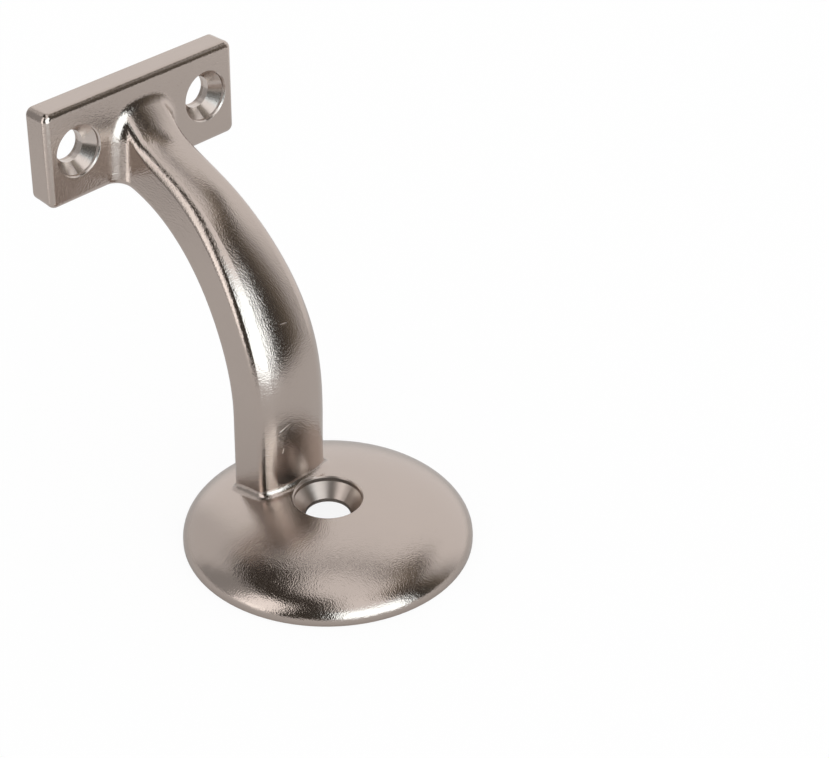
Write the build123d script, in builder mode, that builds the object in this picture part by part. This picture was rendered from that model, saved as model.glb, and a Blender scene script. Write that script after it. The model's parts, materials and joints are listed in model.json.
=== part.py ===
from build123d import *
import os
from math import acos, asin, cos, degrees, hypot, radians, sin, sqrt, tan

# Handrail bracket, cast in one piece.
# Sizes in millimetres. Z points out of the wall along the axis of the rose,
# Y points up the wall towards the rail, X runs along the rail.
# The origin is the centre of the face that lies on the wall.

# Rose, the round dome that is screwed to the wall
rose_diameter = 58.0
rose_height = 9.3
rim_height = 0.5
rose_wall = 3.0
crown_wall = 3.2
boss_diameter = 19.0
boss_height = 4.5

# Wall screw hole in the middle of the rose
wall_bore_diameter = 9.0
wall_sink_diameter = 13.6
wall_sink_land = 1.1
wall_back_bevel = 0.0

# Saddle, the plate that is screwed under the rail
saddle_length = 47.7
saddle_width = 19.5
saddle_thickness = 5.8
saddle_reach = 73.95
saddle_face_rise = 55.5
saddle_corner_radius = 1.6
saddle_edge_radius = 1.2
saddle_face_edge_radius = 0.6

# Rail screw holes in the saddle
rail_hole_spacing = 32.7
rail_bore_diameter = 6.6
rail_sink_diameter = 10.3
rail_sink_land = 0.8
rail_back_bevel = 0.8

# Seat of every screw head
sink_angle = 82.0
sink_bevel = 0.25
bevel_rise = 0.1

# Arm between the rose and the saddle
arm_front_rise = 7.5
root_depth = 10.5
neck_depth = 9.9
bend_radius = 39.8
root_front_width = 17.7
root_back_width = 17.4
neck_front_width = 11.4
neck_back_width = 13.6
crown_flat_share = 0.66
crown_flat_drop = 0.083
crown_drop = 0.3
arm_corner_radius = 2.2
neck_growth = 7.15
neck_turn = 13.3
narrowing_start_angle = 13.5
narrowing_end_angle = 73.0
foot_depth = 3.0

# Blends where the arm meets the rose and the saddle
root_blend = 1.5
neck_blend = 3.3

# Sizes that follow from the ones above
saddle_back_rise = saddle_face_rise - saddle_thickness
saddle_low = saddle_reach - saddle_width / 2
arm_back_rise = arm_front_rise + root_depth
bend_centre_rise = arm_back_rise + bend_radius
bend_left_over = max(bend_centre_rise - saddle_face_rise, 0.0)
bend_centre_reach = saddle_low - sqrt(bend_radius**2 - bend_left_over**2)
quarter_turn = 90.0
bend_end_angle = quarter_turn - degrees(asin(bend_left_over / bend_radius))
overshoot = neck_blend + 1.0
spare_width = 3 * overshoot
straight_reaches = [foot_depth, (foot_depth + bend_centre_reach) / 2]
end_radius = bend_radius + neck_depth + neck_growth
end_drop = bend_centre_rise - saddle_back_rise - saddle_thickness / 4
end_angle = degrees(acos(end_drop / end_radius))
bend_steps = 5
neck_steps = 4
neck_growth_angle = end_angle - neck_turn
bend_angles = [neck_growth_angle * step / bend_steps for step in range(bend_steps)]
bend_angles += [neck_growth_angle + neck_turn * step / neck_steps for step in range(neck_steps + 1)]
rose_radius = rose_diameter / 2
dome_height = rose_height - rim_height
hollow_height = rose_height - crown_wall
wall_rim_share = wall_sink_diameter / rose_diameter
wall_rim_height = rim_height + dome_height * sqrt(1 - wall_rim_share**2)

# Distance within which an edge counts as lying on a face
near = 0.01


def narrowing(angle):
    """Share of the root's extra width that is left at an angle of the bend."""
    span = narrowing_end_angle - narrowing_start_angle
    share = (angle - narrowing_start_angle) / span
    share = min(max(share, 0.0), 1.0)
    return cos(radians(quarter_turn * share)) ** 2


def arm_section(angle, reach=bend_centre_reach):
    """Section of the arm across its run: front of three arcs, flat sides, wide back."""
    late = max(angle - neck_growth_angle, 0.0) / neck_turn
    left = narrowing(angle)
    depth = neck_depth + (root_depth - neck_depth) * left + neck_growth * late**2
    front_radius = bend_radius + depth
    front_width = neck_front_width + (root_front_width - neck_front_width) * left
    back_width = neck_back_width + (root_back_width - neck_back_width) * left
    full_depth = depth + overshoot
    full_width = front_width + (back_width - front_width) * full_depth / depth
    turn = radians(angle)
    plane = Plane(
        origin=(
            0,
            bend_centre_rise - front_radius * cos(turn),
            reach + front_radius * sin(turn),
        ),
        x_dir=(1, 0, 0),
        z_dir=(0, sin(turn), cos(turn)),
    )
    with BuildSketch(plane) as section:
        with BuildLine():
            flat_edge = crown_flat_share * front_width / 2
            crown = ThreePointArc(
                (-flat_edge, crown_flat_drop * front_width / 2),
                (0, 0),
                (flat_edge, crown_flat_drop * front_width / 2),
            )
            right_flank = TangentArc(
                crown @ 1,
                (front_width / 2, crown_drop * front_width / 2),
                tangent=crown % 1,
            )
            left_flank = TangentArc(
                crown @ 0,
                (-front_width / 2, crown_drop * front_width / 2),
                tangent=-(crown % 0),
            )
            Polyline(
                right_flank @ 1,
                (full_width / 2, full_depth),
                (-full_width / 2, full_depth),
                left_flank @ 1,
            )
        make_face()
        corners = section.vertices().filter_by(
            lambda corner: abs(corner.X) > flat_edge + near
        )
        fillet(corners, radius=arm_corner_radius)
    return section.sketch


def screw_cutter(bore_diameter, sink_diameter, sink_land, rim_depth, back_bevel):
    """Solid that cuts a screw hole whose rim lies in the plane at height zero.

    sink_land is the straight part of the head's seat below the rim, rim_depth the
    metal under the rim, and back_bevel the bevel where the bore leaves that metal.
    """
    bore_radius = bore_diameter / 2
    sink_radius = sink_diameter / 2
    seat_depth = (sink_radius - bore_radius) / tan(radians(sink_angle / 2))
    with BuildPart() as cutter:
        with BuildSketch(Plane.XZ):
            with BuildLine():
                Polyline(
                    (0, -rim_depth - bevel_rise),
                    (bore_radius + back_bevel + bevel_rise, -rim_depth - bevel_rise),
                    (bore_radius, back_bevel - rim_depth),
                    (bore_radius, -sink_land - seat_depth),
                    (sink_radius, -sink_land),
                    (sink_radius, -sink_bevel),
                    (sink_radius + sink_bevel + bevel_rise, bevel_rise),
                    (sink_radius, bevel_rise),
                    (sink_radius, overshoot),
                    (0, overshoot),
                    close=True,
                )
            make_face()
        revolve(axis=Axis.Z)
    return cutter.part


def off_inner_curve(point):
    """Distance of a point from the inner curve of the arm, seen from the side."""
    if point.Z < bend_centre_reach:
        return point.Y - arm_back_rise
    across = hypot(point.Y - bend_centre_rise, point.Z - bend_centre_reach)
    return across - bend_radius


def on_inner_curve(edge):
    """True for an edge of the arm's inner face."""
    return all(abs(off_inner_curve(edge @ place)) < near for place in (0, 0.5, 1))


def at_saddle_corner(edge):
    """True for an edge that runs through the thickness at a corner of the saddle."""
    ends = (edge @ 0, edge @ 0.5, edge @ 1)
    outside = all(abs(abs(end.X) - saddle_length / 2) < near for end in ends)
    return outside and abs(ends[0].Y - ends[2].Y) > saddle_thickness / 4


def at_root(edge):
    """True for an edge where the arm leaves the dome of the rose."""
    centre = edge.center()
    close = abs(centre.X) < root_back_width and 0 < centre.Y < arm_back_rise + root_blend
    return close and hollow_height + near < centre.Z < rose_height + near


# Arm and saddle, with spare depth below that the inner curve then trims
arm_sections = [arm_section(0, reach) for reach in straight_reaches]
arm_sections += [arm_section(angle) for angle in bend_angles]

with BuildPart() as arm:
    loft(sections=arm_sections)
    with BuildSketch(Plane.XZ.offset(-saddle_back_rise)):
        with Locations((0, saddle_reach - spare_width / 2)):
            Rectangle(saddle_length, saddle_width + spare_width)
    extrude(amount=-saddle_thickness)
    back_edges = arm.edges().filter_by_position(
        Axis.Y, saddle_back_rise - near, saddle_back_rise + near
    )
    neck_edges = back_edges.filter_by(lambda edge: edge.length < root_back_width).filter_by(
        lambda edge: abs(edge.center().X) < neck_back_width
    )
    fillet(neck_edges, radius=neck_blend)

    with BuildSketch(Plane.YZ) as inner_curve:
        with BuildLine():
            bend = CenterArc(
                (bend_centre_rise, bend_centre_reach),
                bend_radius,
                2 * quarter_turn - bend_end_angle,
                bend_end_angle,
            )
            Polyline(
                bend @ 1,
                (arm_back_rise, 0),
                (saddle_face_rise + overshoot, 0),
                (saddle_face_rise + overshoot, saddle_low),
                bend @ 0,
            )
        make_face()
    extrude(amount=saddle_length, both=True, mode=Mode.SUBTRACT)

    corner_edges = arm.edges().filter_by(at_saddle_corner)
    fillet(corner_edges, radius=saddle_corner_radius)
    back_rim = arm.edges().filter_by_position(
        Axis.Y, saddle_back_rise - near, saddle_back_rise + near
    ).filter_by(GeomType.BSPLINE, reverse=True)
    inner_rim = arm.edges().filter_by(GeomType.BSPLINE).filter_by(on_inner_curve)
    fillet(back_rim + inner_rim, radius=saddle_edge_radius)
    face_rim = arm.edges().filter_by_position(
        Axis.Y, saddle_face_rise - near, saddle_face_rise + near
    )
    fillet(face_rim, radius=saddle_face_edge_radius)

    rail_cutter = screw_cutter(
        rail_bore_diameter,
        rail_sink_diameter,
        rail_sink_land,
        saddle_thickness,
        rail_back_bevel,
    )
    for side in (-1, 1):
        rim_centre = (side * rail_hole_spacing / 2, saddle_back_rise, saddle_reach)
        with Locations(Plane(origin=rim_centre, z_dir=(0, -1, 0))):
            add(rail_cutter, mode=Mode.SUBTRACT)

# Rose, hollow behind, with a boss round the wall screw
with BuildPart() as rose:
    with BuildSketch(Plane.XZ) as rose_profile:
        with BuildLine():
            dome = EllipticalCenterArc(
                (0, rim_height), rose_radius, dome_height, 0, arc_size=quarter_turn
            )
            hollow = EllipticalCenterArc(
                (0, 0), rose_radius - rose_wall, hollow_height, 0, arc_size=quarter_turn
            )
            Line(dome @ 1, hollow @ 1)
            Polyline(hollow @ 0, (rose_radius, 0), dome @ 0)
        make_face()
        with Locations((0, boss_height)):
            Rectangle(
                boss_diameter / 2,
                rose_height - crown_wall / 2 - boss_height,
                align=(Align.MIN, Align.MIN),
            )
    revolve(axis=Axis.Z)

# The whole casting
with BuildPart() as bracket:
    add(rose)
    add(arm)
    root_edges = bracket.edges().filter_by(at_root)
    fillet(root_edges, radius=root_blend)
    wall_cutter = screw_cutter(
        wall_bore_diameter,
        wall_sink_diameter,
        wall_sink_land,
        wall_rim_height - boss_height,
        wall_back_bevel,
    )
    with Locations((0, 0, wall_rim_height)):
        add(wall_cutter, mode=Mode.SUBTRACT)

bracket.part.label = "bracket"
os.makedirs("parts", exist_ok=True)
export_step(bracket.part, "parts/bracket.step")
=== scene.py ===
import json
from math import cos, radians, sin

import bpy
from mathutils import Matrix, Vector

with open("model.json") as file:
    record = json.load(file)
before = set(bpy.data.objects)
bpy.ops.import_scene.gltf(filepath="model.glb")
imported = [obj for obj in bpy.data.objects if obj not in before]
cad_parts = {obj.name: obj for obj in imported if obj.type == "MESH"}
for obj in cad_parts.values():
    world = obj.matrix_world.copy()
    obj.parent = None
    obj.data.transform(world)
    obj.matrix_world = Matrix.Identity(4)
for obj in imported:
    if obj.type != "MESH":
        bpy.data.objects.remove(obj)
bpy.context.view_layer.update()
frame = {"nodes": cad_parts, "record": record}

# Places of the rail's screw holes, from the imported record
mm_per_metre = 1000
mounts = {mount["name"]: mount for mount in frame["record"]["mounts"]}
rail_holes = mounts["rail_screws"]
rail_hole_spacing = rail_holes["dims"]["spacing_x_mm"] / mm_per_metre
rail_hole_reach = rail_holes["pos_m"][2]

# Satin nickel, with the fine grain of the casting under it
nickel = (0.530, 0.452, 0.405)
nickel_roughness = 0.17
grain_size = 0.00028
grain_height = 0.000036
grain_detail = 1.0
pit_size = 0.00040
pit_depth = 0.000008

# Faint clouds in the plate's tint and gloss
cloud_size = 0.016
cloud_detail = 3.0
cloud_middle = 0.5
cloud_tint_change = 0.04
cloud_roughness_change = 0.06

# Screw seats, which are turned after casting
wall_seat_radius = 0.00705
wall_seat_bottom = 0.0045
wall_seat_roughness = 0.33
rail_seat_radius = 0.0054
rail_seat_end = 0.0540
rail_seat_roughness = 0.25
turned_nickel = (0.68, 0.60, 0.55)
seat_edge = 0.00005
turning_pitch = 0.0004
turning_height = 0.000006
turning_detail = 1.0

# Fine marks that the plate has picked up, each from one end to the other
mark_width = 0.00020
mark_depth = 0.00005
marks = {
    "crown_scratch": ((-0.0037, 0.0123, 0.0447), (0.0006, 0.0116, 0.0444)),
    "low_scratch": ((-0.0051, 0.0080, 0.0234), (-0.0031, 0.0078, 0.0243)),
    "left_nick": ((-0.0044, 0.0079, 0.0191), (-0.0046, 0.0079, 0.0182)),
    "right_nick": ((0.0013, 0.0078, 0.0155), (0.0013, 0.0078, 0.0140)),
    "rose_nick": ((0.0085, -0.0153, 0.0076), (0.0075, -0.0163, 0.0075)),
    "rose_scratch": ((0.0115, -0.0158, 0.0070), (0.0133, -0.0160, 0.0065)),
}

# Colour sockets of Blender's Mix node, which share their names with its other sockets
mix_first = 6
mix_second = 7
mix_result = 2


def direction(azimuth, elevation):
    """Unit vector at an azimuth from the front, towards +X, and an elevation."""
    turn = radians(azimuth)
    lift = radians(elevation)
    return Vector((sin(turn) * cos(lift), -cos(turn) * cos(lift), sin(lift)))


class Channel:
    """What one socket of a node tree gives, as a value that Python can calculate with."""

    def __init__(self, finish, socket):
        self.finish = finish
        self.socket = socket

    def math(self, operation, *others):
        values = {place + 1: other for place, other in enumerate(others)}
        return self.finish.node("ShaderNodeMath", {"operation": operation}, {0: self, **values})

    def __add__(self, other):
        return self.math("ADD", other)

    def __sub__(self, other):
        return self.math("SUBTRACT", other)

    def __rsub__(self, other):
        return self.math("MULTIPLY_ADD", -1.0, other)

    def __mul__(self, other):
        return self.math("MULTIPLY", other)

    def __pow__(self, other):
        return self.math("POWER", other)

    __radd__ = __add__
    __rmul__ = __mul__

    def fade(self, low, high):
        """Rises softly from 0 at low to 1 at high, or falls where low is the larger."""
        if low > high:
            return 1 - self.fade(high, low)
        settings = {"interpolation_type": "SMOOTHSTEP", "clamp": True}
        inputs = {"Value": self, "From Min": low, "From Max": high}
        return self.finish.node("ShaderNodeMapRange", settings, inputs)


class Finish:
    """A material or world whose nodes are added one at a time."""

    def __init__(self, block):
        block.use_nodes = True
        self.tree = block.node_tree
        self.tree.nodes.clear()

    def node(self, kind, settings=None, inputs=None, output=0):
        """Adds a node, sets it up, fills its sockets and returns one of its outputs."""
        made = self.tree.nodes.new(kind)
        for name, value in (settings or {}).items():
            setattr(made, name, value)
        for name, value in (inputs or {}).items():
            socket = made.inputs[name]
            if isinstance(value, Channel):
                self.tree.links.new(value.socket, socket)
            else:
                socket.default_value = value
        return Channel(self, made.outputs[output]) if made.outputs else None

    def mix(self, share, first, second):
        """A colour between two others."""
        inputs = {"Factor": share, mix_first: first, mix_second: second}
        return self.node("ShaderNodeMix", {"data_type": "RGBA"}, inputs, mix_result)

    def vector_math(self, operation, first, second, output="Vector"):
        settings = {"operation": operation}
        return self.node("ShaderNodeVectorMath", settings, {0: first, 1: second}, output)

    def noise(self, place, size, detail):
        """Noise whose lumps are about as large as the given size."""
        inputs = {"Vector": place, "Scale": 1 / size, "Detail": detail}
        return self.node("ShaderNodeTexNoise", {}, inputs)


def colour(red, green, blue):
    return (red, green, blue, 1.0)


def shade(strength, tint=(1.0, 1.0, 1.0)):
    """A tint made lighter or darker, and a plain grey where no tint is given."""
    return colour(*[part * strength for part in tint])


def mark(metal, place, start, end):
    """1 along the line of one fine mark, 0 beside it."""
    line = Vector(end) - Vector(start)
    from_start = metal.vector_math("SUBTRACT", place, start)
    along = metal.vector_math("DOT_PRODUCT", from_start, line / line.length_squared, "Value")
    along = along.math("MINIMUM", 1.0).math("MAXIMUM", 0.0)
    foot = metal.node("ShaderNodeVectorMath", {"operation": "SCALE"}, {0: line, "Scale": along})
    off_line = metal.vector_math("DISTANCE", from_start, foot, "Value")
    return off_line.fade(mark_width, 0.0)


def satin_nickel():
    """Nickel plate on a casting: fine grain, faint clouds, turned seats, a few fine marks."""
    material = bpy.data.materials.new("satin_nickel")
    metal = Finish(material)
    place = metal.node("ShaderNodeTexCoord", output="Object")
    x, y, z = [
        metal.node("ShaderNodeSeparateXYZ", {}, {"Vector": place}, axis) for axis in "XYZ"
    ]

    off_wall_axis = (x * x + y * y) ** 0.5
    wall_seat = off_wall_axis.fade(wall_seat_radius + seat_edge, wall_seat_radius)
    wall_seat = wall_seat * z.fade(wall_seat_bottom, wall_seat_bottom + seat_edge)
    beside = x.math("ABSOLUTE") - rail_hole_spacing / 2
    above = z - rail_hole_reach
    off_rail_axis = (beside * beside + above * above) ** 0.5
    rail_seat = off_rail_axis.fade(rail_seat_radius + seat_edge, rail_seat_radius)
    rail_seat = rail_seat * y.fade(rail_seat_end, rail_seat_end - seat_edge)
    seat = wall_seat + rail_seat
    off_axis = wall_seat * off_wall_axis + rail_seat * off_rail_axis
    turning = metal.node(
        "ShaderNodeTexNoise",
        {"noise_dimensions": "1D"},
        {"W": off_axis, "Scale": 1 / turning_pitch, "Detail": turning_detail},
    )

    grain = metal.noise(place, grain_size, grain_detail)
    pits = metal.node("ShaderNodeTexVoronoi", {}, {"Vector": place, "Scale": 1 / pit_size})
    scored = 0.0
    for start, end in marks.values():
        scored = mark(metal, place, start, end) + scored
    relief = (
        (grain * grain_height + pits * pit_depth) * (1 - seat)
        + turning * seat * turning_height
        - scored * mark_depth
    )
    normal = metal.node("ShaderNodeBump", {}, {"Strength": 1.0, "Distance": 1.0, "Height": relief})

    cloud = metal.noise(place, cloud_size, cloud_detail)
    plate = metal.mix(
        cloud,
        shade(1 - cloud_tint_change, nickel),
        shade(1 + cloud_tint_change, nickel),
    )
    roughness = (
        nickel_roughness
        + (cloud - cloud_middle) * cloud_roughness_change
        + wall_seat * (wall_seat_roughness - nickel_roughness)
        + rail_seat * (rail_seat_roughness - nickel_roughness)
    )
    surface = metal.node(
        "ShaderNodeBsdfPrincipled",
        {},
        {
            "Base Color": metal.mix(rail_seat, plate, colour(*turned_nickel)),
            "Metallic": 1.0,
            "Roughness": roughness,
            "Normal": normal,
        },
    )
    metal.node("ShaderNodeOutputMaterial", {}, {"Surface": surface})
    return material


def plain_material(name, shader, inputs):
    """Material of one shader that is the same all over."""
    material = bpy.data.materials.new(name)
    coat = Finish(material)
    coat.node("ShaderNodeOutputMaterial", {}, {"Surface": coat.node(shader, {}, inputs)})
    return material


def stage_piece(name, corners, faces, material):
    """A piece of the studio round the bracket."""
    mesh = bpy.data.meshes.new(name)
    mesh.from_pydata(corners, [], faces)
    mesh.materials.append(material)
    piece = bpy.data.objects.new(name, mesh)
    bpy.context.scene.collection.objects.link(piece)
    return piece


def only_mirrored(piece):
    """Leaves a piece of the studio to be seen in the bracket's reflections alone."""
    piece.visible_camera = False
    piece.visible_diffuse = False
    piece.visible_shadow = False
    piece.visible_transmission = False


def level_rectangle(left, right, near, far, height):
    return [(left, near, height), (right, near, height), (right, far, height), (left, far, height)]


# Studio that the metal mirrors: azimuths from and to, elevations from and to, brightness
# and tint of each card
studio_radius = 2.5
card_steps = 12
panel_foot = -22
flag_foot = -13
backdrop_foot = -25
cool = colour(0.82, 0.94, 1.0)
plain = colour(1.0, 1.0, 1.0)
warm = colour(1.0, 0.88, 0.72)
studio_cards = {
    "left_panel_low": (-116, -86, panel_foot, 14, 1.85, plain),
    "left_panel": (-114, -80, 14, 53, 1.5, plain),
    "camera_flag_low": (-86, -40, flag_foot, 14, 0.06, warm),
    "camera_flag": (-80, -39, 14, 76, 0.05, warm),
    "front_panel": (-39, 14, panel_foot, 34, 2.9, cool),
    "front_panel_fade": (-39, 15, 34, 40, 2.0, cool),
    "front_panel_top": (-39, 14, 40, 76, 1.1, plain),
    "right_flag": (14, 28, flag_foot, 47, 0.04, warm),
    "right_flag_edge": (28, 40, flag_foot, 47, 0.08, warm),
    "right_shade": (40, 50, flag_foot, 47, 0.2, warm),
    "right_shade_edge": (50, 60, flag_foot, 47, 0.48, plain),
    "right_turn": (60, 70, backdrop_foot, 47, 0.8, plain),
    "right_high_flag": (14, 88, 47, 55, 0.07, warm),
    "right_high_shade": (14, 88, 55, 64, 0.28, warm),
    "backdrop": (70, 165, backdrop_foot, 47, 0.95, plain),
    "backdrop_high": (88, 165, 47, 62, 0.95, plain),
    "right_ring": (60, 165, 64, 72, 0.4, plain),
    "far_backdrop": (165, 205, backdrop_foot, 50, 0.7, plain),
    "left_shade": (205, 246, backdrop_foot, 53, 0.36, plain),
    "back_ring": (165, 205, 50, 78, 0.05, warm),
    "left_ring": (205, 290, 53, 78, 0.05, warm),
}


def studio_card(name, left, right, low, high, brightness, tint):
    """Card bent round the bracket."""
    row_length = card_steps + 1
    corners = []
    for row in range(row_length):
        for column in range(row_length):
            azimuth = left + (right - left) * column / card_steps
            elevation = low + (high - low) * row / card_steps
            corners.append(direction(azimuth, elevation) * studio_radius)
    faces = []
    for row in range(card_steps):
        for column in range(card_steps):
            first = row * row_length + column
            faces.append((first, first + 1, first + row_length + 1, first + row_length))
    glow = plain_material(name, "ShaderNodeEmission", {"Color": tint, "Strength": brightness})
    only_mirrored(stage_piece(name, corners, faces, glow))


for name, card in studio_cards.items():
    studio_card(name, *card)

# Floor, white to the camera but for the bracket's shadow
floor_reach = 6.0
floor_drop = 0.0001
floor_grey = 0.96
floor_own_light = 0.9
one_face = [(0, 1, 2, 3)]
white_floor = bpy.data.materials.new("floor")
paint = Finish(white_floor)
matt = paint.node("ShaderNodeBsdfDiffuse", {}, {"Color": shade(floor_grey)})
glow = paint.node("ShaderNodeEmission", {}, {"Color": plain, "Strength": 1.0})
seen = paint.node("ShaderNodeLightPath", output="Is Camera Ray")
lit = paint.node("ShaderNodeMixShader", {}, {"Fac": seen * floor_own_light, 1: matt, 2: glow})
paint.node("ShaderNodeOutputMaterial", {}, {"Surface": lit})
floor_corners = level_rectangle(-floor_reach, floor_reach, -floor_reach, floor_reach, -floor_drop)
floor = stage_piece("floor", floor_corners, one_face, white_floor)
floor.visible_glossy = False

# Table top under the bracket, which the metal mirrors in place of the floor
table_half_width = 0.17
table_near = -0.165
table_far = 0.30
table_drop = floor_drop / 2
table_grey = 0.68
grey_table = plain_material("table_top", "ShaderNodeBsdfDiffuse", {"Color": shade(table_grey)})
table_corners = level_rectangle(
    -table_half_width, table_half_width, table_near, table_far, -table_drop
)
only_mirrored(stage_piece("table_top", table_corners, one_face, grey_table))

# White air round the studio
world = bpy.data.worlds.new("white_studio")
bpy.context.scene.world = world
air = Finish(world)
sky = air.node("ShaderNodeBackground", {}, {"Color": plain, "Strength": 1.0})
air.node("ShaderNodeOutputWorld", {}, {"Surface": sky})

# Camera, at the photograph's viewing angle
view_azimuth = -48.0
view_elevation = 33.604
view_roll = 1.104
view_distance = 0.433715
view_shift_right = 0.017294
view_shift_up = 0.030897
picture_width = 829
focal_pixels = 2161.054
sensor_width = 36.0
nearest_view = 0.01

back = direction(view_azimuth, view_elevation)
across = Vector((cos(radians(view_azimuth)), sin(radians(view_azimuth)), 0))
upward = back.cross(across)
roll = radians(view_roll)
right = across * cos(roll) + upward * sin(roll)
up = upward * cos(roll) - across * sin(roll)
camera_data = bpy.data.cameras.new("camera")
camera_data.sensor_fit = "HORIZONTAL"
camera_data.sensor_width = sensor_width
camera_data.lens = focal_pixels / picture_width * sensor_width
camera_data.clip_start = nearest_view
camera = bpy.data.objects.new("camera", camera_data)
turned = Matrix((right, up, back)).transposed().to_4x4()
stand = right * view_shift_right + up * view_shift_up + back * view_distance
camera.matrix_world = Matrix.Translation(stand) @ turned
bpy.context.scene.collection.objects.link(camera)
bpy.context.scene.camera = camera
bpy.context.scene.view_settings.view_transform = "Standard"

# The casting in its finish
casting = frame["nodes"]["bracket"]
casting.data.materials.clear()
casting.data.materials.append(satin_nickel())
